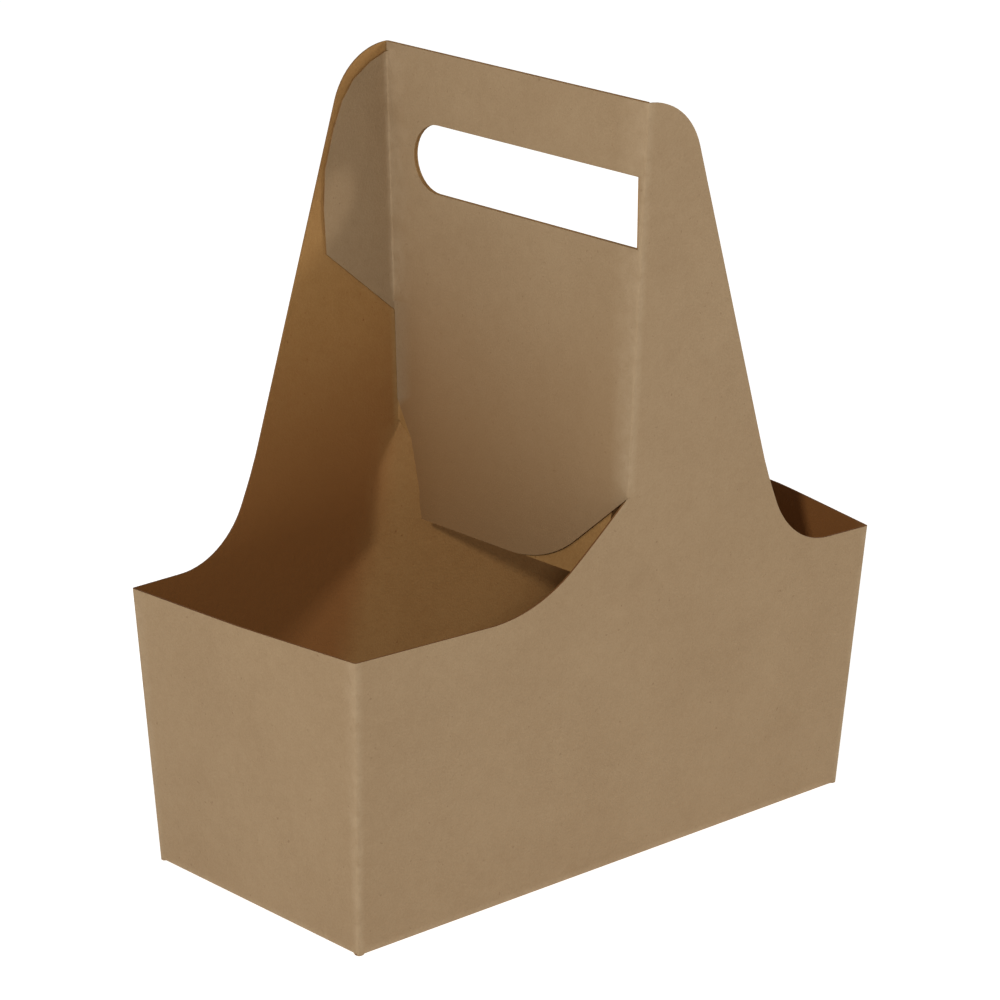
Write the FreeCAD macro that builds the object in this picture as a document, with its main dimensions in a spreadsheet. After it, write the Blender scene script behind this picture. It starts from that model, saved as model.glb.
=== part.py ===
import FreeCAD, Part
import math
import os
import Sketcher

# Cardboard cup carrier: one sheet of kraft board, cut, folded and glued to itself.
# Millimetres, +Z up, +X along the long side, origin at the middle of the underside.
# The near side faces -Y. Turned half way round about Z, wings and handle look the same.
# The rim stands a little askew, as on a carrier that was stored flat and opened by hand.

SIZES = [
    ("board", 0.6, "thickness of the board"),
    ("base_length", 203.5, "outside length at the floor"),
    ("base_width", 95.0, "outside width at the floor"),
    ("mouth_length", 220.5, "outside length at the rim, over the two places that stand out"),
    ("top_width", 117.1, "outside width over the wings' tops, where the side panels lean out"),
    ("rim_height", 90.5, "height of the rim"),
    ("top_height", 241.4, "height of the handle's top edge"),
    ("end_out", 7.8, "how far the far left corner and the right end's middle stand out"),
    ("near_left_short", 1.5, "how far the near left corner stands back along the length"),
    ("near_left_in", 6.1, "how far the near left corner of the rim stands in"),
    ("far_left_in", 3.4, "how far the far left corner of the rim stands in"),
    ("near_right_out", 5.6, "how far the near right corner of the rim stands out"),
    ("far_right_in", 11.6, "how far the far right corner of the rim stands in"),
    ("fold_inside", 0.4, "inside radius of an upright fold"),
    ("floor_fold", 0.5, "bevel of the folds round the floor"),
    ("ply_gap", 0.3, "air between the two handle panels"),
    ("wing_round", 23.4, "radius of a wing's upper corner"),
    ("shoulder_round", 23.4, "radius where a wing's slanted edge meets the rim"),
    ("shoulder_run", 85.5, "distance from the handle fold to the end of that radius"),
    ("dip_height", 120.6, "height at which the handle fold ends"),
    ("dip_round", 46.4, "radius of the cut that frees a handle panel"),
    ("dip_run", 51.3, "distance from the handle fold to the end of that radius"),
    ("clip_foot", 10.7, "width clipped off the handle panel's lower corner"),
    ("clip_knee", 6.6, "width clipped off at the bend of the clipped edge"),
    ("clip_knee_height", 115.9, "height of that bend"),
    ("clip_top", 127.7, "height at which the clipped edge starts"),
    ("slot_drop", 22.4, "distance from the handle's top edge down to the hand hole"),
    ("slot_height", 21.7, "height of the hand hole"),
    ("slot_reach", 44.2, "distance of the hand hole's round end from the middle"),
    ("slot_fold", 1.4, "board left between the hand hole's straight end and the wing"),
    ("flap_width", 26.8, "greatest width of a glue flap"),
    ("flap_neck", 21.5, "width of the flap at its upper corner"),
    ("flap_tip", 14.0, "width of the flap where its upper slant starts"),
    ("flap_head_drop", 2.9, "distance from the top edge to the flap's upper end at its fold"),
    ("flap_tip_drop", 10.4, "distance from the top edge to the upper slant's start"),
    ("flap_neck_drop", 22.4, "distance from the top edge to the flap's upper corner"),
    ("flap_high_drop", 42.4, "distance from the top edge to where the outer edge turns in"),
    ("flap_low_drop", 62.6, "distance from the top edge to where the outer edge starts"),
    ("flap_foot_drop", 84.8, "distance from the top edge to the flap's lower end at its fold"),
    ("tab_width", 16.0, "width of the seam tab inside one corner"),
    ("tab_inset", 3.0, "distance of the seam tab from the floor and the rim"),
    ("seam_gap", 0.8, "gap where two floor flaps meet"),
    ("seam_inset", 4.0, "distance from such a gap's ends to the walls"),
    ("cut_room", 20.0, "how far the cutting shapes reach past the board"),
]

doc = FreeCAD.newDocument("cup_carrier")
sheet = doc.addObject("Spreadsheet::Sheet", "Sizes")
for row, (alias, value, meaning) in enumerate(SIZES, start=1):
    sheet.set(f"A{row}", alias)
    sheet.set(f"B{row}", str(value))
    sheet.setAlias(f"B{row}", alias)
    sheet.set(f"C{row}", meaning)
doc.recompute()

# Places that follow from the sizes, as expressions that the drawing binds to.
SIDE_SLOPE = "((Sizes.top_width - Sizes.base_width) / (2 * Sizes.top_height))"
RIM_LENGTH = "(Sizes.mouth_length - 2 * Sizes.end_out)"
END_SLOPE = f"(({RIM_LENGTH} - Sizes.base_length) / (2 * Sizes.rim_height))"
PANEL_IN = "(Sizes.ply_gap / 2)"
PANEL_OUT = "(Sizes.ply_gap / 2 + Sizes.board)"
FLOOR = "(2 * Sizes.board)"
SLOT_TOP = "(Sizes.top_height - Sizes.slot_drop)"
SLOT_LOW = f"({SLOT_TOP} - Sizes.slot_height)"
CUT_HEIGHT = "(Sizes.top_height + Sizes.cut_room)"

# First guesses of slants in degrees, which the tangents of the drawings then settle.
DOWN = 270
DIP_SLANT = 45
WING_LEAN = 18


def half_width(height):
    """Half the outside width at a height: the side panels lean outwards."""
    return f"(Sizes.base_width / 2 + ({height}) * {SIDE_SLOPE})"


def half_length(height):
    """Half the outside length at a height, at the corners."""
    return f"(Sizes.base_length / 2 + ({height}) * {END_SLOPE})"


def below_top(drop):
    """The height that lies a named distance below the handle's top edge."""
    return f"(Sizes.top_height - Sizes.{drop})"


body = doc.addObject("PartDesign::Body", "carrier_sheet")
body.Label = "carrier_sheet"


def own(role):
    """One of the body's own planes or axes."""
    return next(item for item in body.Origin.OriginFeatures if item.Role == role)


def number(expression):
    """What an expression comes to with the sizes as they stand."""
    value = sheet.evalExpression(expression)
    return float(getattr(value, "Value", value))


class Outline:
    """A closed outline in one sketch, drawn edge by edge, each place bound to the sizes."""

    def __init__(self, name, plane, offset, tilt=None):
        self.sketch = body.newObject("Sketcher::SketchObject", name)
        self.sketch.AttachmentSupport = [(own(plane), "")]
        self.sketch.MapMode = "FlatFace"
        if tilt is not None:
            lean = FreeCAD.Rotation(FreeCAD.Vector(1, 0, 0), number(tilt))
            self.sketch.AttachmentOffset = FreeCAD.Placement(FreeCAD.Vector(0, 0, 0), lean)
            self.sketch.setExpression("AttachmentOffset.Rotation.Angle", tilt)
        self.sketch.setExpression("AttachmentOffset.Base.z", offset)

    def bind(self, kind, expression, *places):
        """Add a dimension and bind it to an expression."""
        dimension = Sketcher.Constraint(kind, *places, number(expression))
        index = self.sketch.addConstraint(dimension)
        self.sketch.setExpression(f"Constraints[{index}]", expression)

    def place(self, edge, end, point):
        """Bind an edge's start (1), finish (2) or centre (3) to a point's two expressions."""
        self.bind("DistanceX", point[0], -1, 1, edge, end)
        self.bind("DistanceY", point[1], -1, 1, edge, end)

    def join(self, first, first_end, second, second_end, kind="Coincident"):
        """Tie two ends together, as a corner or, with Tangent, running smoothly on."""
        self.sketch.addConstraint(
            Sketcher.Constraint(kind, first, first_end, second, second_end))

    def line(self, start, finish):
        """Draw a straight edge between two points given as expressions."""
        ends = [FreeCAD.Vector(number(x), number(y), 0) for x, y in (start, finish)]
        return self.sketch.addGeometry(Part.LineSegment(*ends), False)

    def arc(self, centre, radius, start_angle, finish_angle):
        """Draw an arc that runs anticlockwise between two angles in degrees."""
        middle = FreeCAD.Vector(number(centre[0]), number(centre[1]), 0)
        circle = Part.Circle(middle, FreeCAD.Vector(0, 0, 1), number(radius))
        span = (math.radians(start_angle), math.radians(finish_angle))
        return self.sketch.addGeometry(Part.ArcOfCircle(circle, *span), False)

    def chain(self, points, closed=True):
        """Draw straight edges through a list of points, each placed once."""
        following = points[1:] + points[:1] if closed else points[1:]
        edges = [self.line(*pair) for pair in zip(points, following)]
        for index, edge in enumerate(edges):
            self.place(edge, 1, points[index])
            if index > 0:
                self.join(edges[index - 1], 2, edge, 1)
        if closed:
            self.join(edges[-1], 2, edges[0], 1)
        else:
            self.place(edges[-1], 2, points[-1])
        return edges


def rim_shifts():
    """How far the rim's corners and the middles of its sides stand away from a square rim."""
    corners = [
        ("Sizes.near_left_short", "Sizes.near_left_in"), ("0", "(-Sizes.near_right_out)"),
        ("0", "(-Sizes.far_right_in)"), ("(-Sizes.end_out)", "(-Sizes.far_left_in)"),
    ]
    left_middle = "((Sizes.near_left_short - Sizes.end_out) / 2)"
    middles = [("0", "0"), ("Sizes.end_out", "0"), ("0", "0"), (left_middle, "0")]
    return corners, middles


def moved(point, way, distance):
    """The point that lies a distance away from another, along a direction."""
    return tuple(f"({place} + ({step} * {distance}))" for place, step in zip(point, way))


def section(name, height, inset, askew):
    """A level section of the box: round corners, and each side drawn in two halves."""
    outline = Outline(name, "XY_Plane", height)
    fold = f"(Sizes.fold_inside + Sizes.board - {inset})"
    across = f"({half_length(height)} - {inset})"
    deep = f"({half_width(height)} - {inset})"
    corners = [(f"(-{across})", f"(-{deep})"), (across, f"(-{deep})"),
               (across, deep), (f"(-{across})", deep)]
    middles = [("0", f"(-{deep})"), (across, "0"), ("0", deep), (f"(-{across})", "0")]
    if askew:
        corner_shifts, middle_shifts = rim_shifts()
        corners = [moved(point, shift, "1") for point, shift in zip(corners, corner_shifts)]
        middles = [moved(point, shift, "1") for point, shift in zip(middles, middle_shifts)]
    ways = [(1, 0), (0, 1), (-1, 0), (0, -1)]
    halves = []
    for index, way in enumerate(ways):
        back = tuple(-step for step in way)
        start = moved(corners[index], way, fold)
        finish = moved(corners[(index + 1) % 4], back, fold)
        halves.append(outline.chain([start, middles[index], finish], closed=False))
    for index, way in enumerate(ways):
        onward = ways[(index + 1) % 4]
        turn = tuple(after - before for before, after in zip(way, onward))
        centre = moved(corners[(index + 1) % 4], turn, fold)
        arc = outline.arc(centre, fold, 90 * index - 90, 90 * index)
        outline.bind("Radius", fold, arc)
        outline.join(halves[index][-1], 2, arc, 1)
        outline.join(arc, 2, halves[(index + 1) % 4][0], 1)
    return outline.sketch


def settle(feature):
    """Make a feature the body's latest one, and work it out."""
    body.Tip = feature
    doc.recompute()
    return feature


def box(kind, name, inset, levels):
    """A box that widens upwards, askew at its rim, from its lowest level past the handle's top."""
    upper = [("Sizes.rim_height", inset, True), ("Sizes.dip_height", inset, False), (CUT_HEIGHT, inset, False)]
    parts = [section(f"{name}_level_{index}", *level) for index, level in enumerate(levels + upper)]
    loft = body.newObject(kind, name)
    loft.Profile = parts[0]
    loft.Sections = parts[1:]
    loft.Ruled = True
    return settle(loft)


def turned_copy(name, originals):
    """The same features once more, half a turn round the upright axis."""
    pattern = body.newObject("PartDesign::PolarPattern", name)
    pattern.Originals = originals
    pattern.Axis = (own("Z_Axis"), [""])
    pattern.Angle = 360
    pattern.Occurrences = 2
    return settle(pattern)


def pad(name, profile, length, reverse=False):
    """Give an outline the thickness of board."""
    feature = body.newObject("PartDesign::Pad", name)
    feature.Profile = profile
    feature.Reversed = reverse
    feature.setExpression("Length", length)
    return settle(feature)


def pocket(name, profile, length, reverse=False, both_ways=False):
    """Cut an outline out of the board, and make sure that something came away."""
    before = body.Shape.Volume
    feature = body.newObject("PartDesign::Pocket", name)
    feature.Profile = profile
    feature.Reversed = reverse
    feature.SideType = "Symmetric" if both_ways else "One side"
    feature.setExpression("Length", length)
    settle(feature)
    if not body.Shape.Volume < before:
        raise RuntimeError(f"{name} cuts nothing")
    return feature


def above_rim():
    """What is cut away on the near side: all above its rim, round its wing."""
    fold = f"(-{PANEL_OUT})"
    side = f"({half_length(CUT_HEIGHT)} + Sizes.end_out + Sizes.cut_room)"
    roof = "(Sizes.top_height + 2 * Sizes.cut_room)"
    dip_end = (f"({fold} - Sizes.dip_run)", "Sizes.rim_height")
    dip_centre = (dip_end[0], "(Sizes.rim_height + Sizes.dip_round)")
    crown = (fold, "(Sizes.top_height - Sizes.wing_round)")
    shoulder_end = (f"({fold} + Sizes.shoulder_run)", "Sizes.rim_height")
    shoulder = (shoulder_end[0], "(Sizes.rim_height + Sizes.shoulder_round)")

    outline = Outline("near_cut", "XZ_Plane", "0")
    rim = outline.chain([
        shoulder_end, (side, "Sizes.rim_height"), (side, roof),
        (f"-{side}", roof), (f"-{side}", "Sizes.rim_height"), dip_end,
    ], closed=False)
    dip = outline.arc(dip_centre, "Sizes.dip_round", DOWN, DOWN + DIP_SLANT)
    outline.join(rim[-1], 2, dip, 1)
    outline.place(dip, 3, dip_centre)
    foot = (fold, "Sizes.dip_height")
    slant = outline.line((f"({fold} - Sizes.dip_height + Sizes.rim_height)", "Sizes.rim_height"), foot)
    outline.join(dip, 2, slant, 1, "Tangent")
    upright = outline.line(foot, (fold, "Sizes.top_height"))
    outline.place(upright, 1, foot)
    outline.join(slant, 2, upright, 1)
    outline.place(upright, 2, (fold, "Sizes.top_height"))
    round_top = outline.arc(crown, "Sizes.wing_round", WING_LEAN, 90)
    outline.place(round_top, 3, crown)
    outline.join(upright, 2, round_top, 2)
    edge = outline.line(
        (f"({fold} + Sizes.wing_round)", crown[1]),
        (f"({shoulder[0]} - Sizes.shoulder_round)", shoulder[1]))
    outline.join(round_top, 1, edge, 1, "Tangent")
    inner_round = outline.arc(shoulder, "Sizes.shoulder_round", 180 + WING_LEAN, DOWN)
    outline.join(edge, 2, inner_round, 1, "Tangent")
    outline.place(inner_round, 3, shoulder)
    outline.join(inner_round, 2, rim[0], 1)
    return outline.sketch


def handle_panel():
    """The panel that folds back from the near wing and reaches to the far wing."""
    middle = "(Sizes.board / 2)"
    foot = (f"(-{half_width('Sizes.dip_height')} + {middle})", "Sizes.dip_height")
    dip_end = (f"(-{half_width('Sizes.rim_height')} + Sizes.dip_run)", "Sizes.rim_height")
    dip_centre = (dip_end[0], "(Sizes.rim_height + Sizes.dip_round)")

    def far_edge(height, inset):
        return (f"({half_width(height)} - Sizes.board - {inset})", height)

    outline = Outline("near_handle_outline", "YZ_Plane", f"(-{PANEL_OUT})")
    edges = outline.chain([
        dip_end,
        far_edge("Sizes.rim_height", "Sizes.clip_foot"),
        far_edge("Sizes.clip_knee_height", "Sizes.clip_knee"),
        far_edge("Sizes.clip_top", "Sizes.board"),
        far_edge(below_top("flap_foot_drop"), "Sizes.board"),
        far_edge(below_top("flap_foot_drop"), f"(-{middle})"),
        far_edge("Sizes.top_height", f"(-{middle})"),
        (f"(-{half_width('Sizes.top_height')} + {middle})", "Sizes.top_height"),
        foot,
    ], closed=False)
    slant = outline.line(foot, (f"({foot[0]} + Sizes.dip_height - Sizes.rim_height)", "Sizes.rim_height"))
    outline.join(edges[-1], 2, slant, 1)
    dip = outline.arc(dip_centre, "Sizes.dip_round", DOWN - DIP_SLANT, DOWN)
    outline.join(slant, 2, dip, 1, "Tangent")
    outline.place(dip, 3, dip_centre)
    outline.join(dip, 2, edges[0], 1)
    return outline.sketch


def glue_flap():
    """The flap that folds from the near handle panel onto the far wing's inner face."""
    def left(width):
        return f"(-{PANEL_OUT} - {width})"

    inner = f"(-{PANEL_IN})"
    offset = "(Sizes.board - Sizes.base_width / 2)"
    outline = Outline("far_flap_outline", "XZ_Plane", offset, tilt=f"(-atan({SIDE_SLOPE}))")
    outline.chain([
        (inner, below_top("flap_foot_drop")), (left("0"), below_top("flap_foot_drop")),
        (left("Sizes.flap_width"), below_top("flap_low_drop")),
        (left("Sizes.flap_width"), below_top("flap_high_drop")),
        (left("Sizes.flap_neck"), below_top("flap_neck_drop")),
        (left("Sizes.flap_tip"), below_top("flap_tip_drop")),
        (left("0"), below_top("flap_head_drop")), (inner, below_top("flap_head_drop")),
    ])
    return outline.sketch


def seam_tab(name):
    """The tab that closes the sleeve, glued inside the far panel's right end as it stands."""
    parts = []
    levels = [f"({FLOOR} + Sizes.tab_inset)", "(Sizes.rim_height - Sizes.tab_inset)"]
    for index, height in enumerate(levels):
        fold = f"({half_length(height)} - Sizes.board / 2)"
        turn_in = f"(Sizes.far_right_in * {height} / (Sizes.rim_height * {half_length(height)}))"

        def inside(width, layers):
            x = f"({fold} - {width})"
            return x, f"({half_width(height)} - {x} * {turn_in} - {layers} * Sizes.board)"

        outline = Outline(f"{name}_level_{index}", "XY_Plane", height)
        outline.chain([inside("0", "0.5"), inside("Sizes.tab_width", "0.5"),
                       inside("Sizes.tab_width", "2"), inside("0", "2")])
        parts.append(outline.sketch)
    loft = body.newObject("PartDesign::AdditiveLoft", name)
    loft.Profile = parts[0]
    loft.Sections = parts[1:]
    loft.Ruled = True
    return settle(loft)


def hand_hole():
    """The hand hole: round at its far end, and open to the near wing's fold."""
    radius = "(Sizes.slot_height / 2)"
    middle = f"({SLOT_TOP} - {radius})"
    near = f"({half_width(middle)} - Sizes.slot_fold)"
    centre_y = f"(Sizes.slot_reach - {radius})"
    outline = Outline("hand_hole_outline", "YZ_Plane", "0")
    edges = outline.chain([
        (centre_y, SLOT_TOP), (f"-{near}", SLOT_TOP),
        (f"-{near}", SLOT_LOW), (centre_y, SLOT_LOW),
    ], closed=False)
    end = outline.arc((centre_y, middle), radius, -90, 90)
    outline.join(edges[-1], 2, end, 1)
    outline.join(end, 2, edges[0], 1)
    outline.bind("DistanceX", centre_y, -1, 1, end, 3)
    return outline.sketch


def seam(name, height, half_long, along_x):
    """A narrow gap between two floor flaps, centred on the floor."""
    narrow = "(Sizes.seam_gap / 2)"
    across, deep = (half_long, narrow) if along_x else (narrow, half_long)
    outline = Outline(name, "XY_Plane", height)
    outline.chain([
        (f"-{across}", f"-{deep}"), (across, f"-{deep}"), (across, deep), (f"-{across}", deep),
    ])
    return outline.sketch


foot = [("0", "Sizes.floor_fold", False), ("Sizes.floor_fold", "0", False)]
box("PartDesign::AdditiveLoft", "outside", "0", foot)
box("PartDesign::SubtractiveLoft", "inside", "Sizes.board", [(FLOOR, "Sizes.board", False)])

cut_reach = f"({half_width(CUT_HEIGHT)} + Sizes.cut_room)"
near_cut = pocket("near_wing_cut", above_rim(), cut_reach, reverse=True)
turned_copy("far_wing_cut", [near_cut])

near_panel = pad("near_handle_panel", handle_panel(), "Sizes.board")
far_flap = pad("far_glue_flap", glue_flap(), "Sizes.board")
turned_copy("far_handle_panel", [near_panel, far_flap])
pocket("hand_hole", hand_hole(), f"(2 * {PANEL_OUT} + Sizes.board)", both_ways=True)

seam_tab("seam_tab")
under_half = "(Sizes.base_length / 2 - Sizes.seam_inset)"
pocket("under_seam", seam("under_seam_outline", "0", under_half, True), "Sizes.board", reverse=True)
top_half = "(Sizes.base_width / 2 - Sizes.seam_inset)"
pocket("upper_seam", seam("upper_seam_outline", FLOOR, top_half, False), "Sizes.board")

for item in doc.Objects:
    if "Invalid" in item.State or "Error" in item.State:
        raise RuntimeError(f"{item.Label} did not compute: {item.State}")
if body.Shape.isNull() or not body.Shape.isValid() or len(body.Shape.Solids) != 1:
    raise RuntimeError("carrier_sheet is not one valid solid")

os.makedirs("parts", exist_ok=True)
body.Shape.exportStep(f"parts/{body.Label}.step")
bounds = body.Shape.optimalBoundingBox(False)
print(f"{body.Label}: {bounds.XLength:.1f} x {bounds.YLength:.1f} x {bounds.ZLength:.1f} mm,"
      f" {body.Shape.Volume:.0f} mm3, z from {bounds.ZMin:.3f}")
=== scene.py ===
"""A cardboard cup carrier: one sheet of brown kraft board, cut, folded and glued to itself.

The sheet is drawn panel by panel as the outside face of the board, folded up where the CAD part
has its walls, joined along its folds, racked a little as a used carrier is, and then given the
thickness of the board. Everything is in metres, in the CAD part's own frame.
"""

import logging
import math
from collections import Counter
from dataclasses import dataclass, field
from enum import Enum, IntEnum

import bpy
from mathutils import Matrix, Vector
from mathutils.kdtree import KDTree


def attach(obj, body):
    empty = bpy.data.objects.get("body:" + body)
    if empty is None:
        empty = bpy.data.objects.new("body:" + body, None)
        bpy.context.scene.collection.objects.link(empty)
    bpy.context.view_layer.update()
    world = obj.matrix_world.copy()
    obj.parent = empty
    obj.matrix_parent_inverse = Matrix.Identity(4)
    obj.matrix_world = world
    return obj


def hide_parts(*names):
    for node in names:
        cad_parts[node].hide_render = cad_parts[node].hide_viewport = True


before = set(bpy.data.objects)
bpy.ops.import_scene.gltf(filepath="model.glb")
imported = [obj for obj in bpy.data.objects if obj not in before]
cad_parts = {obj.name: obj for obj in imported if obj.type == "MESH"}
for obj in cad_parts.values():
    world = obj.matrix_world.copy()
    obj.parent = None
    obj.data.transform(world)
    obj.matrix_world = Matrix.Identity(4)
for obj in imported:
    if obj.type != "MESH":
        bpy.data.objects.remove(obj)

LOG = logging.getLogger("cup_carrier")
MM = 0.001
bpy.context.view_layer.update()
HANDLE_REACH = 2.0 * MM  # what stands nearer to x = 0 than this belongs to the handle

Colour = tuple[float, float, float]
Socket = bpy.types.NodeSocket
Inputs = dict[str | int, Socket | Colour | float]


class Face(IntEnum):
    """Which side of the board a face shows, as the sheet's material slots have them."""

    OUTSIDE = 0
    INSIDE = 1
    CUT = 2


class End(Enum):
    """The two short ends of the carrier, by the sign of x."""

    LEFT = -1
    RIGHT = 1


def select_none() -> None:
    """Deselect every object, so that an operator acts on the new piece alone."""
    if bpy.context.mode != "OBJECT":
        bpy.ops.object.mode_set(mode="OBJECT")
    bpy.ops.object.select_all(action="DESELECT")


def take(piece: bpy.types.Object) -> None:
    """Make one object the only selected and the active one.

    Args:
        piece: The object that the next operators act on.
    """
    select_none()
    piece.select_set(True)
    bpy.context.view_layer.objects.active = piece


class Pencil:
    """Draws closed outlines in space, a vertex at a time, and fills them to a panel."""

    same_place = 0.02 * MM
    on_cut = 0.001 * MM
    along_cut = 0.01 * MM
    flat_degrees = 0.5

    def __init__(self, name: str) -> None:
        select_none()
        bpy.ops.object.add(type="MESH")
        self.panel: bpy.types.Object = bpy.context.object
        self.panel.name = name
        self.panel.data.name = name
        self.start = Vector()
        self.here = Vector()
        bpy.ops.object.mode_set(mode="EDIT")
        bpy.ops.mesh.select_mode(type="VERT")

    def put(self, point: Vector) -> None:
        """Begin an outline at a point.

        Args:
            point: The outline's first corner.
        """
        bpy.ops.mesh.select_all(action="DESELECT")
        bpy.ops.mesh.primitive_plane_add(size=MM, location=point)
        bpy.ops.mesh.merge(type="CENTER")
        self.start = point.copy()
        self.here = point.copy()

    def line(self, *points: Vector) -> None:
        """Draw straight edges from the last corner through more corners.

        Args:
            points: The corners, in order.
        """
        for point in points:
            step = point - self.here
            bpy.ops.mesh.extrude_vertices_move(TRANSFORM_OT_translate={"value": step})
            self.here = point.copy()

    def arc(self, centre: Vector, normal: Vector, degrees: float, steps: int = 14) -> None:
        """Draw an arc from the last corner round a centre.

        Args:
            centre: The arc's centre.
            normal: The arc's axis. Seen against it, a positive angle runs anticlockwise.
            degrees: How far the arc runs.
            steps: How many straight edges it is drawn with.
        """
        angle = math.radians(degrees)
        bpy.ops.mesh.spin(steps=steps, angle=-angle, center=centre, axis=normal)
        self.here = centre + Matrix.Rotation(angle, 3, normal) @ (self.here - centre)

    def close(self) -> None:
        """Draw the last edge back to the outline's first corner."""
        self.line(self.start)
        bpy.ops.mesh.select_all(action="SELECT")
        bpy.ops.mesh.remove_doubles(threshold=self.same_place)

    def filled(self, cuts: dict[str, list[float]]) -> bpy.types.Object:
        """Fill all that is drawn and cut it into a grid, so that the panel can be curved.

        Args:
            cuts: Where planes cut the panel, as places along "x", "y" or "z".

        Returns:
            The panel.
        """
        bpy.ops.mesh.select_all(action="SELECT")
        bpy.ops.mesh.fill(use_beauty=True)
        bpy.ops.mesh.select_all(action="SELECT")
        bpy.ops.mesh.dissolve_limited(angle_limit=math.radians(self.flat_degrees))
        for axis, places in cuts.items():
            normal = Vector([float(letter == axis) for letter in "xyz"])
            for place in places:
                bpy.ops.mesh.select_all(action="SELECT")
                bpy.ops.mesh.bisect(plane_co=normal * place, plane_no=normal, threshold=self.on_cut)
        bpy.ops.mesh.select_mode(type="EDGE")
        bpy.ops.mesh.select_all(action="DESELECT")
        bpy.ops.object.mode_set(mode="OBJECT")
        if self.pick_slants(cuts):
            bpy.ops.object.mode_set(mode="EDIT")
            bpy.ops.mesh.dissolve_edges(use_verts=False)
            bpy.ops.mesh.select_mode(type="VERT")
            bpy.ops.mesh.select_all(action="DESELECT")
            bpy.ops.object.mode_set(mode="OBJECT")
            if self.pick_strays():
                bpy.ops.object.mode_set(mode="EDIT")
                bpy.ops.mesh.dissolve_verts()
                bpy.ops.object.mode_set(mode="OBJECT")
        return self.panel

    def faces_along(self) -> Counter[tuple[int, int]]:
        """How many faces meet along each edge, by the numbers of its two vertices."""
        return Counter(key for face in self.panel.data.polygons for key in face.edge_keys)

    def pick_slants(self, cuts: dict[str, list[float]]) -> bool:
        """Select the edges inside the panel that the filling left, and that run along no cut.

        Args:
            cuts: The panel's cuts, by axis.

        Returns:
            Whether there are any.
        """
        mesh = self.panel.data
        faces = self.faces_along()
        for edge in mesh.edges:
            first, second = (mesh.vertices[end] for end in edge.vertices)
            run = second.co - first.co
            slanted = all(abs(getattr(run, axis)) > self.along_cut for axis in cuts)
            if slanted and faces[edge.key] == 2:
                edge.select = first.select = second.select = True
        return any(edge.select for edge in mesh.edges)

    def pick_strays(self) -> bool:
        """Select the vertices inside the panel that only two edges are left at.

        Returns:
            Whether there are any.
        """
        mesh = self.panel.data
        edges_at = Counter(end for edge in mesh.edges for end in edge.vertices)
        outline = {end for key, count in self.faces_along().items() if count == 1 for end in key}
        for vertex in mesh.vertices:
            vertex.select = edges_at[vertex.index] == 2 and vertex.index not in outline
        return any(vertex.select for vertex in mesh.vertices)


def grid(low: float, high: float, pitch: float, extra: tuple[float, ...] = ()) -> list[float]:
    """Places for a panel's cuts, at whole pitches from nought, so that they match on every panel.

    Args:
        low: No place is below this.
        high: No place is above this.
        pitch: The distance between neighbours.
        extra: More places, such as those that run beside a fold.

    Returns:
        The places, with no whole pitch nearer than a fifth of it to an extra place.
    """
    steps = range(math.ceil(low / pitch), math.floor(high / pitch) + 1)
    clear = [step * pitch for step in steps if all(abs(step * pitch - other) > pitch / 5 for other in extra)]
    return sorted([*clear, *extra])


def turned(panel: bpy.types.Object) -> bpy.types.Object:
    """A copy of a panel, half a turn round the upright axis.

    Args:
        panel: The panel to copy.

    Returns:
        The copy, with its own mesh.
    """
    take(panel)
    bpy.ops.object.duplicate()
    copy = bpy.context.object
    copy.rotation_euler.z = math.pi
    bpy.ops.object.transform_apply(location=False, rotation=True, scale=False)
    return copy


def polar(degrees: float, radius: float) -> Vector:
    """A step of a given length in a given direction, in the drawing's own two axes."""
    return Vector((math.cos(math.radians(degrees)), math.sin(math.radians(degrees)))) * radius


def eased(share: float) -> float:
    """A share from 0 to 1 with soft ends."""
    share = min(1.0, max(0.0, share))
    return share * share * (3.0 - 2.0 * share)


def touching_turn(start: Vector, centre: Vector, radius: float) -> float:
    """Where a straight line from a point touches a circle, with the circle on its left.

    Args:
        start: The line's start, in the drawing's own two axes.
        centre: The circle's centre.
        radius: The circle's radius.

    Returns:
        The direction from the centre to the touching point, in degrees.
    """
    away = start - centre
    opening = math.degrees(math.acos(radius / away.length))
    return math.degrees(math.atan2(away.y, away.x)) - opening


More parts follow.
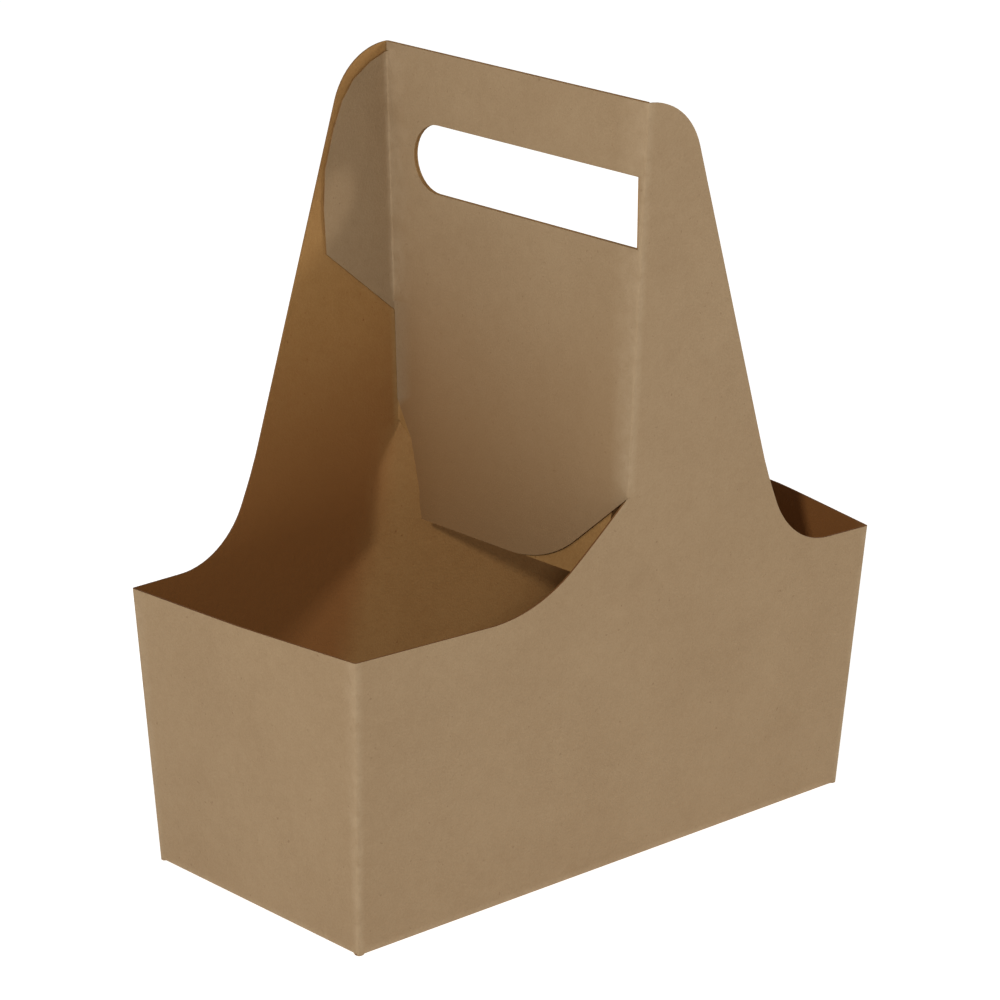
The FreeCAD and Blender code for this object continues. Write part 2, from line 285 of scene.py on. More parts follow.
@dataclass(frozen=True)
class Board:
    """The board and the box that it is folded to, as the CAD part has them.

    The pitch and what lies beside a fold are for the grid that each panel is cut into. The floor's folds
    begin an inset away from the corners, so that rounding them doesn't meet the upright folds.
    """

    thickness: float = 0.6 * MM
    base_length: float = 203.5 * MM
    rim_length: float = 204.9 * MM
    base_width: float = 95.0 * MM
    top_width: float = 117.1 * MM
    rim_height: float = 90.5 * MM
    top_height: float = 241.4 * MM
    dip_height: float = 120.6 * MM
    panel_out: float = 0.75 * MM
    dip_round: float = 46.4 * MM
    dip_run: float = 51.3 * MM
    fold_radius: float = 0.9 * MM
    corner_inset: float = 1.0 * MM
    pitch: float = 5.0 * MM
    beside_fold: float = 2.6 * MM

    def half_width(self, height: float) -> float:
        """Half the outside width at a height, where the side panels lean out."""
        return (self.base_width + (self.top_width - self.base_width) * height / self.top_height) / 2

    def half_length(self, height: float) -> float:
        """Half the outside length at a height, at the corners."""
        return (self.base_length + (self.rim_length - self.base_length) * height / self.rim_height) / 2

    def levels(self, top: float) -> list[float]:
        """The heights of the cuts that every upright panel shares."""
        beside = self.beside_fold
        shared = (beside, self.rim_height, self.dip_height, self.top_height - beside)
        return grid(0.0, top, self.pitch, shared)

    def stations(self) -> list[float]:
        """The places of the cuts across the length, with none at nought, too near to the handle's folds."""
        beside = self.beside_fold
        ends = self.base_length / 2 - beside
        return [place for place in grid(-ends, ends, self.pitch, (-ends, -beside, beside, ends)) if place]

    def rows(self) -> list[float]:
        """The places of the cuts across the width, from the near side to the far one."""
        sides = self.base_width / 2 - self.beside_fold
        return grid(-sides, sides, self.pitch, (-sides, sides))


@dataclass(frozen=True)
class SidePanel:
    """A long side panel, with the tall wing on one half and a low rim on the other."""

    board: Board
    wing_round: float = 23.4 * MM
    shoulder_round: float = 23.4 * MM
    shoulder_run: float = 85.5 * MM

    def build(self) -> bpy.types.Object:
        """Draw the near side panel with its wing, leaning out.

        Returns:
            The panel.
        """
        board = self.board
        fold = -board.panel_out
        rim = board.rim_height
        lean = Vector((0.0, board.half_width(1.0) - board.half_width(0.0), 1.0)).normalized()
        normal = Vector((0.0, lean.z, lean.y)) * -1.0

        def at(x: float, z: float) -> Vector:
            return Vector((x, -board.half_width(z), z))

        crown = Vector((fold, board.top_height - self.wing_round))
        shoulder = Vector((fold + self.shoulder_run, rim + self.shoulder_round))
        run = shoulder - crown
        both_rounds = self.wing_round + self.shoulder_round
        edge_lean = math.degrees(math.atan2(run.x, -run.y) - math.asin(both_rounds / run.length))
        foot = Vector((fold, board.dip_height))
        dip = Vector((fold - board.dip_run, rim + board.dip_round))
        dip_turn = touching_turn(foot, dip, board.dip_round)

        pencil = Pencil("near_side_panel")
        corner = board.half_length(0.0)
        pencil.put(at(-corner, 0.0))
        pencil.line(
            at(board.corner_inset - corner, 0.0),
            at(corner - board.corner_inset, 0.0),
            at(corner, 0.0),
            at(board.half_length(rim), rim),
            at(shoulder.x, rim))
        pencil.arc(at(*shoulder), normal, edge_lean - 90.0)
        pencil.line(at(*(crown + polar(edge_lean, self.wing_round))))
        pencil.arc(at(*crown), normal, 90.0 - edge_lean)
        touch = dip + polar(dip_turn, board.dip_round)
        pencil.line(at(fold, board.top_height), at(*foot), at(*touch))
        pencil.arc(at(*dip), normal, -90.0 - dip_turn)
        pencil.line(at(dip.x, rim), at(-board.half_length(rim), rim))
        pencil.close()
        return pencil.filled({"x": board.stations(), "z": board.levels(board.top_height)})


@dataclass(frozen=True)
class HandlePanel:
    """The panel that folds back from a wing, with its hand hole and its glue flap."""

    board: Board
    clip_foot: float = 10.7 * MM
    clip_knee: float = 6.6 * MM
    clip_knee_height: float = 115.9 * MM
    clip_top: float = 127.7 * MM
    slot_low: float = 197.3 * MM
    slot_top: float = 219.0 * MM
    slot_reach: float = 44.2 * MM
    slot_steps: int = 20
    slot_fold: float = 1.4 * MM
    slot_fold_behind: float = 2.7 * MM
    flap_foot: float = 156.6 * MM
    flap_corners: tuple[tuple[float, float], ...] = (
        (26.8 * MM, 178.8 * MM), (27.2 * MM, 192.8 * MM), (26.2 * MM, 205.0 * MM), (22.2 * MM, 217.2 * MM),
        (18.4 * MM, 225.4 * MM), (13.6 * MM, 231.4 * MM), (6.8 * MM, 235.8 * MM))
    flap_head: float = 238.5 * MM
    glue: float = 0.05 * MM

    def far_edge(self, height: float) -> float:
        """Where the panel meets the glue flap, which lies on the far wing's inner face."""
        return self.board.half_width(height) - 2 * self.board.thickness - self.glue

    def panel(self, name: str, behind: bool) -> bpy.types.Object:
        """Draw a handle panel across the carrier, as it folds back from the near wing.

        Args:
            name: The panel's name.
            behind: Whether this is the far wing's panel, whose hole lies the other way round
                until the panel is turned.

        Returns:
            The panel.
        """
        board = self.board
        rim = board.rim_height
        normal = Vector((1.0, 0.0, 0.0))

        def at(y: float, z: float) -> Vector:
            return Vector((-board.panel_out, y, z))

        foot = Vector((-board.half_width(board.dip_height), board.dip_height))
        dip = Vector((-board.half_width(rim) + board.dip_run, rim + board.dip_round))
        mirrored = touching_turn(Vector((-foot.x, foot.y)), Vector((-dip.x, dip.y)), board.dip_round)
        touch = dip + polar(180.0 - mirrored, board.dip_round)
        radius = (self.slot_top - self.slot_low) / 2
        way = -1.0 if behind else 1.0
        slot_end = way * (self.slot_reach - radius)
        from_fold = self.slot_fold_behind if behind else self.slot_fold
        straight = way * (from_fold - board.half_width(self.slot_low))

        pencil = Pencil(name)
        pencil.put(at(*foot))
        pencil.line(at(*touch))
        pencil.arc(at(*dip), normal, 90.0 + mirrored)
        clip_foot = board.half_width(rim) - board.thickness - self.clip_foot
        clip_knee = board.half_width(self.clip_knee_height) - board.thickness - self.clip_knee
        pencil.line(
            at(clip_foot, rim),
            at(clip_knee, self.clip_knee_height),
            at(self.far_edge(self.clip_top), self.clip_top),
            at(self.far_edge(self.flap_foot), self.flap_foot),
            at(self.far_edge(self.flap_head), self.flap_head),
            at(self.far_edge(board.top_height), board.top_height),
            at(-board.half_width(board.top_height), board.top_height))
        pencil.close()
        pencil.put(at(slot_end, self.slot_low))
        pencil.arc(at(slot_end, self.slot_low + radius), normal, way * 180.0, self.slot_steps)
        pencil.line(at(straight, self.slot_top), at(straight, self.slot_low))
        pencil.close()
        return pencil.filled({"y": board.rows(), "z": board.levels(board.top_height)})

    def flap(self) -> bpy.types.Object:
        """Draw the glue flap, which lies flat on the far wing's inner face.

        Returns:
            The flap.
        """
        fold = -self.board.panel_out

        def at(width: float, z: float) -> Vector:
            return Vector((fold - width, self.far_edge(z), z))

        pencil = Pencil("glue_flap")
        pencil.put(at(0.0, self.flap_foot))
        pencil.line(*(at(*corner) for corner in self.flap_corners), at(0.0, self.flap_head))
        pencil.close()
        return pencil.filled({"x": self.board.stations(), "z": self.board.levels(self.board.top_height)})

    def build(self) -> list[bpy.types.Object]:
        """Draw the near wing's handle panel with its flap, and the far wing's.

        Returns:
            The two panels and the two flaps.
        """
        near = self.panel("near_handle_panel", behind=False)
        flap = self.flap()
        drawn = self.panel("drawn_handle_panel", behind=True)
        far = turned(drawn)
        far.name = "far_handle_panel"
        bpy.data.objects.remove(drawn)
        return [near, flap, far, turned(flap)]


@dataclass(frozen=True)
class EndPanel:
    """A short end panel. Its far edge is a fold, or carries on into the seam tab."""

    board: Board
    end: End
    tab_width: float = 16.0 * MM
    tab_slant: float = 5.0 * MM
    tab_inset: float = 3.0 * MM
    glue: float = 0.03 * MM

    def far_edge(self, height: float) -> float:
        """Where the end panel's far edge stands at a height."""
        inset = 0.0 if self.end is End.LEFT else self.board.thickness + self.glue
        return self.board.half_width(height) - inset

    def build(self) -> list[bpy.types.Object]:
        """Draw the end panel, and at the right end the seam tab.

        Returns:
            The panels.
        """
        board = self.board
        rim = board.rim_height

        def at(y: float, z: float) -> Vector:
            return Vector((self.end.value * board.half_length(z), y, z))

        pencil = Pencil(f"{self.end.name.lower()}_end_panel")
        side = board.half_width(0.0)
        pencil.put(at(-side, 0.0))
        pencil.line(
            at(board.corner_inset - side, 0.0),
            at(side - board.corner_inset, 0.0),
            at(self.far_edge(0.0), 0.0),
            at(self.far_edge(rim), rim),
            at(-board.half_width(rim), rim))
        pencil.close()
        panels = [pencil.filled({"y": board.rows(), "z": board.levels(rim)})]
        if self.end is End.RIGHT:
            panels.append(self.seam_tab())
        return panels

    def seam_tab(self) -> bpy.types.Object:
        """Draw the tab that is glued inside the far side panel.

        Returns:
            The tab.
        """
        board = self.board
        foot, head = self.tab_inset, board.rim_height - self.tab_inset
        slant = self.tab_slant

        def at(width: float, z: float) -> Vector:
            return Vector((board.half_length(z) - width, self.far_edge(z), z))

        pencil = Pencil("seam_tab")
        pencil.put(at(0.0, foot))
        pencil.line(at(0.0, head), at(self.tab_width, head - slant), at(self.tab_width, foot + slant))
        pencil.close()
        return pencil.filled({"x": board.stations(), "z": board.levels(board.rim_height)})


@dataclass(frozen=True)
class Floor:
    """The four floor flaps: the long ones outside, the short ones on top of them."""

    board: Board
    half_gap: float = 0.4 * MM
    slant: float = 3.0 * MM
    layer_gap: float = 0.05 * MM

    def build(self) -> list[bpy.types.Object]:
        """Draw the near and the left flap, and turn their copies to the other sides.

        Returns:
            The four flaps.
        """
        board = self.board
        half_long, half_wide = board.base_length / 2, board.base_width / 2
        cuts = {"x": board.stations(), "y": board.rows()}
        edge = half_long - board.corner_inset
        near = Pencil("near_floor_flap")
        near.put(Vector((-edge, -half_wide, 0.0)))
        near.line(
            Vector((edge, -half_wide, 0.0)),
            Vector((edge - self.slant, -self.half_gap, 0.0)),
            Vector((self.slant - edge, -self.half_gap, 0.0)))
        near.close()
        near_flap = near.filled(cuts)
        side = half_wide - board.corner_inset
        left = Pencil("left_floor_flap")
        left.put(Vector((-half_long, -side, 0.0)))
        left.line(
            Vector((-half_long, side, 0.0)),
            Vector((-self.half_gap, side - self.slant, 0.0)),
            Vector((-self.half_gap, self.slant - side, 0.0)))
        left.close()
        left_flap = left.filled(cuts)
        for vertex in left_flap.data.vertices:
            if vertex.co.x > board.corner_inset - half_long:
                vertex.co.z += board.thickness + self.layer_gap
        return [near_flap, turned(near_flap), left_flap, turned(left_flap)]


@dataclass(frozen=True)
class Stance:
    """How a used carrier stands away from a square one, and the painted shade of its inside and handle.

    The first four values are the shifts of the rim's corners along x and y. They fade out above the rim
    and down to the floor. The ends bow out, and the far panel turns in past a soft slanting crease. Each
    shade begins below its head and is full after its fade.
    """

    near_left: tuple[float, float] = (1.5 * MM, 6.1 * MM)
    far_left: tuple[float, float] = (-7.3 * MM, -3.4 * MM)
    near_right: tuple[float, float] = (-0.9 * MM, -5.6 * MM)
    far_right: tuple[float, float] = (1.5 * MM, -1.0 * MM)
    left_bow: float = 1.4 * MM
    right_bow: float = 9.6 * MM
    ridge: float = 0.1
    fade: float = 32.0 * MM
    crease_top: tuple[float, float] = (-2.0 * MM, 120.6 * MM)
    crease_slope: float = 0.33
    crease_turn: float = 0.098
    crease_soft: float = 7.0 * MM
    end_share: float = 0.98
    side_share: float = 0.8
    # painted shade of the inside: the height where it begins, and how far below that it is full
    painted_shade_head: float = 185.0 * MM
    painted_shade_fade: float = 100.0 * MM
    # painted light: past the far panel's crease, below this head, a patch of light lessens the inside's
    # painted shade by this share
    lit_head: float = 130.0 * MM
    lit_fade: float = 14.0 * MM
    lit_share: float = 0.8
    # painted shade on the handle: where it begins, how far below that it is full, and its least share by the
    # fold
    handle_head: float = 205.0 * MM
    handle_fade: float = 110.0 * MM
    handle_least: float = 0.4
    wing_margin: float = 1.5 * MM

    def shift(self, place: Vector, board: Board) -> Vector:
        """How far one place of the sheet moves.

        Args:
            place: Where it is on the square carrier.
            board: The box that it belongs to.

        Returns:
            The move.
        """
        rim = board.rim_height
        below_rim = min(place.z, rim)
        rise = place.z / rim if place.z <= rim else eased(1.0 - (place.z - rim) / self.fade)
        along = abs(place.x) / (board.rim_length / 2)
        across = min(1.0, abs(place.y) / board.half_width(below_rim))
        near, left, on_end = place.y < 0, place.x < 0, along > self.end_share
        corners = {
            (True, True): self.near_left, (False, True): self.far_left,
            (True, False): self.near_right, (False, False): self.far_right,
        }
        corner = Vector(corners[near, left]).to_3d()
        if on_end:
            opposite = Vector(corners[not near, left]).to_3d()
            move = opposite.lerp(corner, (1.0 + across) / 2)
            bow = (self.left_bow if left else self.right_bow) * self.bulge(across)
            move.x += math.copysign(bow, place.x)
            move *= rise
        else:
            move = corner * rise * along * across
        if not near and (on_end or place.y > self.side_share * board.half_width(place.z)):
            move.y -= self.turned_in(place.x, below_rim) * rise * across
        return move

    def bulge(self, across: float) -> float:
        """The bulge of an end panel: two nearly straight halves, and a soft ridge between them."""
        edge = math.hypot(1.0, self.ridge)
        return (edge - math.hypot(across, self.ridge)) / (edge - self.ridge)

    def past_crease(self, x: float, z: float) -> float:
        """How far past the far panel's slanting crease a place is, in times of the crease's softness."""
        crease = self.crease_top[0] - self.crease_slope * (self.crease_top[1] - z)
        return (x - crease) / self.crease_soft

    def turned_in(self, x: float, z: float) -> float:
        """How far the far panel's right half comes in past its soft slanting crease.

        Args:
            x: The place along the panel.
            z: Its height.

        Returns:
            The distance.
        """
        past = self.past_crease(x, z)
        soft = math.log1p(math.exp(-abs(past))) + max(past, 0.0)
        return self.crease_turn * soft * self.crease_soft

    def painted_inner_shade(self, place: Vector) -> float:
        """How much painted shade a place of the inside takes: more the deeper it lies, from 0 on the wings
        to 1 at the floor.

        It is 0 on the handle. Past the far panel's crease, low down, a painted patch of light lessens it.
        """
        if abs(place.x) < HANDLE_REACH:
            return 0.0
        depth = eased((self.painted_shade_head - place.z) / self.painted_shade_fade)
        # painted light: a patch of light past the far panel's crease, on the far side only
        painted_light = eased((self.past_crease(place.x, place.z) + 1.0) / 2) if place.y > 0.0 else 0.0
        return depth * (1.0 - self.lit_share * painted_light * eased((self.lit_head - place.z) / self.lit_fade))

    def painted_handle_shade(self, place: Vector, board: Board) -> float:
        """How much painted shade a place of the handle takes, for shade and brown bounce light: more low
        down and further from its fold.
        """
        half_width = board.half_width(place.z)
        if abs(place.x) > HANDLE_REACH or abs(place.y) > half_width - self.wing_margin:
            return 0.0
        across = (1.0 - math.copysign(1.0, place.x) * place.y / half_width) / 2
        amount = self.handle_least + (1.0 - self.handle_least) * across
        return amount * eased((self.handle_head - place.z) / self.handle_fade)


class NodeBench:
    """Adds nodes to one node tree, which it empties first, and links them."""

    def __init__(self, tree: bpy.types.NodeTree) -> None:
        self.nodes = tree.nodes
        self.links = tree.links
        self.nodes.clear()

    def feed(self, node: bpy.types.Node, inputs: Inputs) -> None:
        """Give a node's inputs what they take.

        Args:
            node: The node.
            inputs: A socket to link, a colour or a number for each input, by its name or number.
        """
        for key, value in inputs.items():
            if isinstance(value, Socket):
                self.links.new(value, node.inputs[key])
            elif isinstance(value, tuple):
                node.inputs[key].default_value = (*value, 1.0)
            else:
                node.inputs[key].default_value = value

    def add(self, kind: str, inputs: Inputs) -> bpy.types.Node:
        """Add a node.

        Args:
            kind: Its type, without the "ShaderNode" that all of them begin with.
            inputs: What its inputs take.

        Returns:
            The node.
        """
        node = self.nodes.new(f"ShaderNode{kind}")
        self.feed(node, inputs)
        return node

    def maths(self, operation: str, first: Socket, second: Socket | float) -> Socket:
        """Combine two numbers."""
        node = self.add("Math", {0: first, 1: second})
        node.operation = operation
        return node.outputs["Value"]

    def plus(self, first: Socket, second: Socket, share: float) -> Socket:
        """Add a share of one number to another."""
        return self.maths("ADD", first, self.maths("MULTIPLY", second, share))

    def ramp(self, source: Socket, low: float, high: float) -> Socket:
        """Stretch a number's range to 0 to 1."""
        return self.add("MapRange", {"Value": source, "From Min": low, "From Max": high}).outputs["Result"]

    def mix(self, amount: Socket, first: Socket | Colour, second: Socket | Colour) -> Socket:
        """Mix two colours, which is all of the first where the amount is 0."""
        node = self.nodes.new("ShaderNodeMix")
        node.data_type = "RGBA"
        self.feed(node, {"Factor": amount, "A": first, "B": second})
        return node.outputs["Result"]

    def attribute(self, name: str) -> Socket:
        """Read one of the sheet's own attributes."""
        node = self.add("Attribute", {})
        node.attribute_name = name
        return node.outputs["Fac"]


@dataclass(frozen=True)
class Grain:
    """One layer of the board's pattern: a noise, and the part of its range that shows."""

    scale: float
    detail: float
    roughness: float
    low: float
    high: float

    def build(self, bench: NodeBench, place: Socket) -> Socket:
        """Add the layer's nodes.

        Args:
            bench: The material's nodes.
            place: The place on the board.

        Returns:
            The layer's value, from 0 to 1.
        """
        noise = bench.add("TexNoise", {
            "Vector": place, "Scale": self.scale, "Detail": self.detail, "Roughness": self.roughness})
        return bench.ramp(noise.outputs["Fac"], self.low, self.high)


CLOUD = Grain(28.0, 4.0, 0.6, 0.3, 0.7)
MOTTLE = Grain(260.0, 5.0, 0.7, 0.32, 0.68)
FIBRE = Grain(1500.0, 3.0, 0.6, 0.35, 0.65)
FLECK = Grain(620.0, 2.0, 0.5, 0.7, 0.78)


@dataclass(frozen=True)
class KraftFinish:
    """Brown kraft board, with its clouding, fibres, flecks and rubbed folds, and painted shade mixed in from
    an attribute.
    """

    name: str
    pale: Colour
    deep: Colour
    fleck: Colour
    scuff: Colour
    shade: Colour
    painted_shade_name: str = "painted_inner_shade"
    mottle_share: float = 0.7
    fibre_share: float = 0.8
    tone_low: float = 0.5
    tone_high: float = 2.0
    even_wear: float = 0.4
    scuff_share: float = 0.35
    roughness: float = 0.82
    specular: float = 0.25
    relief: float = 0.12 * MM
    relief_strength: float = 0.6
    relief_fibre: float = 0.5

    def build(self) -> bpy.types.Material:
        """Make the node material.

        Returns:
            The material.
        """
        material = bpy.data.materials.new(self.name)
        material.use_nodes = True
        bench = NodeBench(material.node_tree)
        place = bench.add("TexCoord", {}).outputs["Object"]
        cloud, mottle, fibre, fleck = (grain.build(bench, place) for grain in (CLOUD, MOTTLE, FIBRE, FLECK))
        tone = bench.plus(bench.plus(cloud, mottle, self.mottle_share), fibre, self.fibre_share)
        colour = bench.mix(bench.ramp(tone, self.tone_low, self.tone_high), self.deep, self.pale)
        colour = bench.mix(fleck, colour, self.fleck)
        # painted shade: the colour goes towards the shade colour where the attribute is high
        colour = bench.mix(bench.attribute(self.painted_shade_name), colour, self.shade)
        worn = bench.attribute("wear")
        rubbed = bench.plus(bench.maths("MULTIPLY", worn, mottle), worn, self.even_wear)
        colour = bench.mix(bench.maths("MULTIPLY", rubbed, self.scuff_share), colour, self.scuff)
        bump = bench.add("Bump", {
            "Height": bench.plus(mottle, fibre, self.relief_fibre), "Distance": self.relief,
            "Strength": self.relief_strength})
        shader = bench.add("BsdfPrincipled", {
            "Base Color": colour, "Roughness": self.roughness, "Specular IOR Level": self.specular,
            "Normal": bump.outputs["Normal"]})
        bench.add("OutputMaterial", {"Surface": shader.outputs["BSDF"]})
        return material


OUTSIDE = KraftFinish(
    name="kraft_outside",
    pale=(0.315, 0.215, 0.118),
    deep=(0.277, 0.183, 0.097),
    fleck=(0.235, 0.148, 0.077),
    scuff=(0.41, 0.3, 0.185),
    # painted shade: the handle's colour low down, for shade and brown bounce light
    shade=(0.24, 0.125, 0.045),
    painted_shade_name="painted_handle_shade",
)
INSIDE = KraftFinish(
    name="kraft_inside",
    pale=(0.35, 0.19, 0.063),
    deep=(0.295, 0.15, 0.045),
    fleck=(0.22, 0.1, 0.027),
    scuff=(0.4, 0.24, 0.1),
    # painted shade: the inside's colour deep in the carrier, for shade and brown bounce light
    shade=(0.26, 0.104, 0.025),
)
CUT_EDGE = KraftFinish(
    name="kraft_cut_edge",
    pale=(0.26, 0.14, 0.045),
    deep=(0.18, 0.085, 0.025),
    fleck=(0.1, 0.045, 0.015),
    scuff=(0.3, 0.17, 0.07),
    # painted shade: the cut edges' colour deep in the carrier
    shade=(0.13, 0.05, 0.012),
)


@dataclass
class CarrierSheet:
    """The whole sheet: its panels joined along their folds, racked, and given thickness."""

    board: Board = field(default_factory=Board)
    stance: Stance = field(default_factory=Stance)
    merge_distance: float = 0.1 * MM
    fold_degrees: float = 50.0
    fold_segments: int = 3
    worn_reach: float = 0.8 * MM
    worn_fade: float = 1.1 * MM
    smooth_degrees: float = 28.0

    def panels(self) -> list[bpy.types.Object]:
        """Draw every panel of the sheet in its place."""
        near = SidePanel(self.board).build()
        panels = [near, turned(near)]
        panels += HandlePanel(self.board).build()
        for end in End:
            panels += EndPanel(self.board, end).build()
        panels += Floor(self.board).build()
        return panels

    def join(self, panels: list[bpy.types.Object]) -> bpy.types.Object:
        """Join the panels to one sheet and merge them along their folds.

        Args:
            panels: The panels.

        Returns:
            The sheet.
        """
        take(panels[0])
        for panel in panels:
            panel.select_set(True)
        bpy.ops.object.join()
        sheet = bpy.context.object
        sheet.name = "folded_sheet"
        sheet.data.name = "folded_sheet"
        bpy.ops.object.mode_set(mode="EDIT")
        bpy.ops.mesh.select_all(action="SELECT")
        bpy.ops.mesh.remove_doubles(threshold=self.merge_distance)
        bpy.ops.mesh.normals_make_consistent(inside=False)
        bpy.ops.object.mode_set(mode="OBJECT")
        return sheet

    def face_out(self, sheet: bpy.types.Object) -> None:
        """Turn all faces over if the left end panel doesn't face left."""
        left = min(sheet.data.polygons, key=lambda face: face.center.x)
        if left.normal.x > 0:
            bpy.ops.object.mode_set(mode="EDIT")
            bpy.ops.mesh.select_all(action="SELECT")
            bpy.ops.mesh.flip_normals()
            bpy.ops.object.mode_set(mode="OBJECT")

    def rack(self, sheet: bpy.types.Object) -> None:
        """Move the sheet from a square carrier's shape to a used one's."""
        for vertex in sheet.data.vertices:
            vertex.co += self.stance.shift(vertex.co, self.board)

    def round_folds(self, sheet: bpy.types.Object) -> None:
        """Round every fold and note how near each place of the sheet is to one."""
        bpy.ops.object.mode_set(mode="EDIT")
        bpy.ops.mesh.select_mode(type="EDGE")
        bpy.ops.mesh.select_all(action="DESELECT")
        bpy.ops.mesh.edges_select_sharp(sharpness=math.radians(self.fold_degrees))
        bpy.ops.object.mode_set(mode="OBJECT")
        folds = [edge for edge in sheet.data.edges if edge.select]
        tree = KDTree(2 * len(folds))
        for index, edge in enumerate(folds):
            first, second = (sheet.data.vertices[end].co for end in edge.vertices)
            tree.insert(first, 2 * index)
            tree.insert((first + second) / 2, 2 * index + 1)
        tree.balance()
        bpy.ops.object.mode_set(mode="EDIT")
        bpy.ops.mesh.bevel(
            offset=self.board.fold_radius, segments=self.fold_segments, profile=0.5, clamp_overlap=False)
        bpy.ops.object.mode_set(mode="OBJECT")
        wear = sheet.data.attributes.new("wear", "FLOAT", "POINT")
        for vertex in sheet.data.vertices:
            beyond = max(0.0, tree.find(vertex.co)[2] - self.worn_reach)
            wear.data[vertex.index].value = max(0.0, 1.0 - beyond / self.worn_fade)

    def shade(self, sheet: bpy.types.Object) -> None:
        """Note how much painted shade each place of the sheet's inside and of the handle takes."""
        inner = sheet.data.attributes.new("painted_inner_shade", "FLOAT", "POINT")
        handle = sheet.data.attributes.new("painted_handle_shade", "FLOAT", "POINT")
        for vertex in sheet.data.vertices:
            inner.data[vertex.index].value = self.stance.painted_inner_shade(vertex.co)
            handle.data[vertex.index].value = self.stance.painted_handle_shade(vertex.co, self.board)

    def thicken(self, sheet: bpy.types.Object) -> None:
        """Give the sheet the thickness of the board, inwards, with its cut edges."""
        solid = sheet.modifiers.new("board", "SOLIDIFY")
        solid.thickness = self.board.thickness
        solid.offset = -1.0
        solid.use_quality_normals = True
        solid.material_offset = Face.INSIDE
        solid.material_offset_rim = Face.CUT
        take(sheet)
        bpy.ops.object.modifier_apply(modifier=solid.name)
        bpy.ops.object.shade_smooth_by_angle(angle=math.radians(self.smooth_degrees))

    def build(self) -> bpy.types.Object:
        """Returns:
            The finished sheet.
        """
        sheet = self.join(self.panels())
        self.face_out(sheet)
        self.rack(sheet)
        self.round_folds(sheet)
        self.shade(sheet)
        for finish in (OUTSIDE, INSIDE, CUT_EDGE):
            sheet.data.materials.append(finish.build())
        self.thicken(sheet)
        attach(sheet, "root")
        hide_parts("carrier_sheet")
        return sheet


@dataclass(frozen=True)
class Viewpoint:
    """The photograph's camera, in degrees and metres."""

    azimuth: float = -42.347
    elevation: float = 18.255
    roll: float = 0.453
    distance: float = 1238.6664 * MM
    aim_right: float = -2.1897 * MM
    aim_up: float = 101.3094 * MM
    lens: float = 140.549
    sensor: float = 36.0

    def build(self) -> bpy.types.Object:
        """Place the camera and make it the scene's own.

        Returns:
            The camera.
        """
        turn, lift, roll = (math.radians(angle) for angle in (self.azimuth, self.elevation, self.roll))
        back = Vector((math.sin(turn) * math.cos(lift), -math.cos(turn) * math.cos(lift), math.sin(lift)))
        level = (-back).cross(Vector((0.0, 0.0, 1.0))).normalized()
        upright = level.cross(-back)
        right = level * math.cos(roll) + upright * math.sin(roll)
        up = upright * math.cos(roll) - level * math.sin(roll)
        select_none()
        bpy.ops.object.camera_add()
        camera = bpy.context.object
        camera.name = "photo_camera"
        camera.data.lens = self.lens
        camera.data.sensor_width = self.sensor
        place = Matrix((right, up, back)).transposed().to_4x4()
        place.translation = back * self.distance + right * self.aim_right + up * self.aim_up
        camera.matrix_world = place
        bpy.context.scene.camera = camera
        return camera


@dataclass(frozen=True)
class Softbox:
    """One round lamp, turned to the carrier. The larger it is, the softer are its shadows."""

    name: str
    place: tuple[float, float, float]
    size: float
    power: float
    aim: tuple[float, float, float] = (0.0, 0.0, 0.1)

    def build(self) -> bpy.types.Object:
        """Add the lamp.

        Returns:
            The lamp.
        """
        select_none()
        bpy.ops.object.light_add(type="AREA", location=self.place)
        lamp = bpy.context.object
        lamp.name = self.name
        lamp.data.shape = "DISK"
        lamp.data.size = self.size
        lamp.data.energy = self.power
        lamp.rotation_mode = "QUATERNION"
        lamp.rotation_quaternion = (Vector(self.place) - Vector(self.aim)).to_track_quat("Z", "Y")
        return lamp


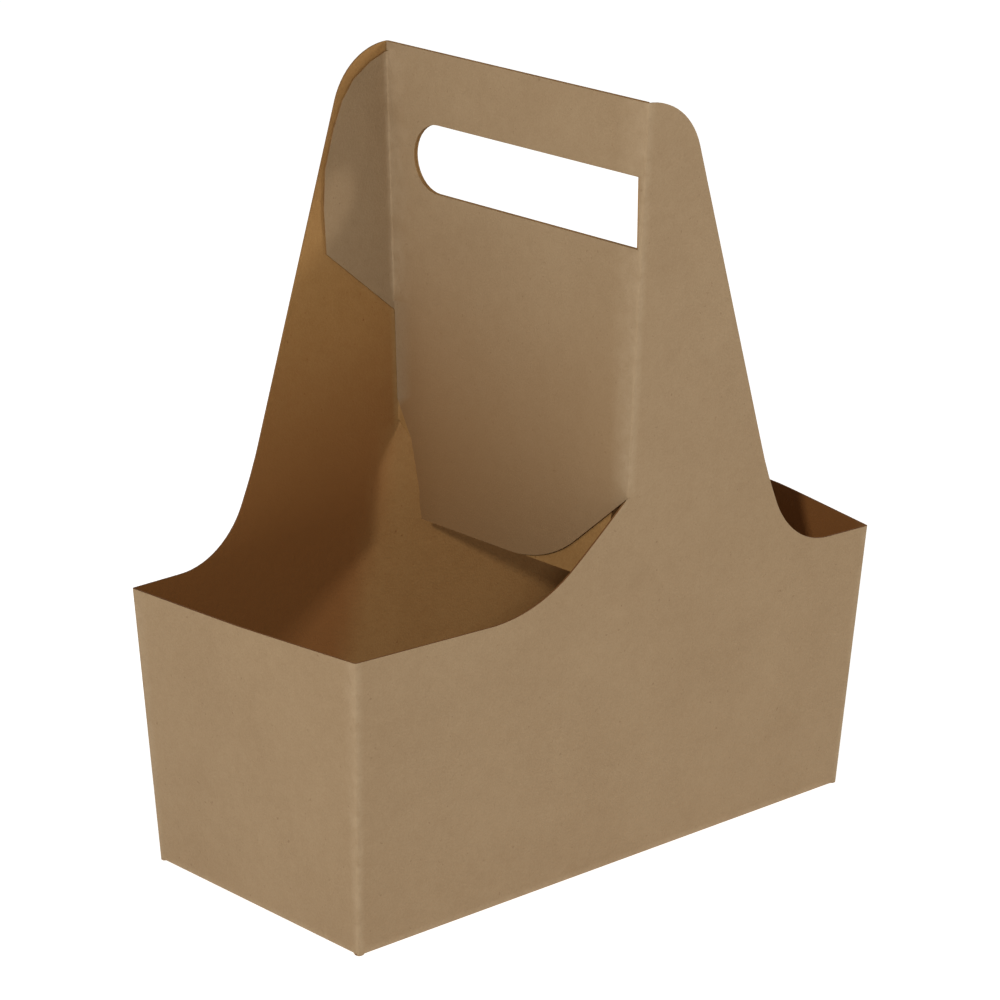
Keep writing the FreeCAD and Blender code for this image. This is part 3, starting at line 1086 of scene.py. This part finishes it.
@dataclass(frozen=True)
class Studio:
    """The pale floor, the white surroundings and the lamps."""

    fill: float = 0.2
    fill_tint: Colour = (1.0, 0.985, 0.96)
    background: Colour = (1.0, 1.0, 1.0)
    floor_size: float = 8.0
    floor_drop: float = 0.1 * MM
    floor_colour: Colour = (0.8, 0.79, 0.77)
    floor_glow: float = 0.75
    floor_bounce: float = 0.55
    lamps: tuple[Softbox, ...] = (
        Softbox("key_lamp", (-1.62, -1.09, 1.12), 0.14, 20.0),
        Softbox("left_softbox", (-1.96, 0.35, 1.03), 1.0, 8.0),
        Softbox("right_softbox", (1.57, -1.14, 1.13), 0.5, 17.0),
    )

    def build(self) -> bpy.types.Object:
        """Build the surroundings.

        Returns:
            The floor.
        """
        self.surroundings()
        for lamp in self.lamps:
            lamp.build()
        select_none()
        bpy.ops.mesh.primitive_plane_add(size=self.floor_size, location=(0.0, 0.0, -self.floor_drop))
        floor = bpy.context.object
        floor.name = "studio_floor"
        bpy.ops.object.transform_apply(location=True, rotation=False, scale=False)
        floor.data.materials.append(self.floor_finish())
        return floor

    def seen(self, bench: NodeBench) -> Socket:
        """A factor that is 1 where the camera, a gloss or a clear piece sees the surface itself.

        Args:
            bench: The nodes to add it to.

        Returns:
            The factor.
        """
        path = bench.add("LightPath", {})
        factor = path.outputs["Is Camera Ray"]
        for ray in ("Is Glossy Ray", "Is Transmission Ray"):
            factor = bench.maths("MAXIMUM", factor, path.outputs[ray])
        return factor

    def surroundings(self) -> None:
        """A white background to the camera, and an even pale light to the carrier."""
        world = bpy.data.worlds.new("studio_world")
        bpy.context.scene.world = world
        world.use_nodes = True
        bench = NodeBench(world.node_tree)
        light = bench.add("Background", {"Color": self.fill_tint, "Strength": self.fill})
        white = bench.add("Background", {"Color": self.background, "Strength": 1.0})
        choice = bench.add("MixShader", {
            "Fac": self.seen(bench), 1: light.outputs["Background"], 2: white.outputs["Background"]})
        bench.add("OutputWorld", {"Surface": choice.outputs["Shader"]})

    def floor_finish(self) -> bpy.types.Material:
        """A matt pale floor that looks white to the camera and keeps the carrier's shadow.

        Returns:
            The material.
        """
        material = bpy.data.materials.new("studio_floor")
        material.use_nodes = True
        bench = NodeBench(material.node_tree)
        matt = bench.add("BsdfDiffuse", {"Color": self.floor_colour})
        bounce = bench.add("Emission", {"Strength": self.floor_bounce})
        glow = bench.add("Emission", {"Strength": self.floor_glow})
        choice = bench.add("MixShader", {
            "Fac": self.seen(bench), 1: bounce.outputs["Emission"], 2: glow.outputs["Emission"]})
        both = bench.add("AddShader", {0: matt.outputs["BSDF"], 1: choice.outputs["Shader"]})
        bench.add("OutputMaterial", {"Surface": both.outputs["Shader"]})
        return material


def main() -> None:
    """Build the carrier, the studio and the camera, and report each piece."""
    logging.basicConfig(level=logging.INFO)
    bpy.context.scene.view_settings.view_transform = "Standard"
    sheet = CarrierSheet().build()
    LOG.info("%s: %d faces", sheet.name, len(sheet.data.polygons))
    floor = Studio().build()
    LOG.info("%s: the surface that the carrier stands on", floor.name)
    camera = Viewpoint().build()
    LOG.info("%s: %.1f mm lens", camera.name, camera.data.lens)


if __name__ == "__main__":
    main()
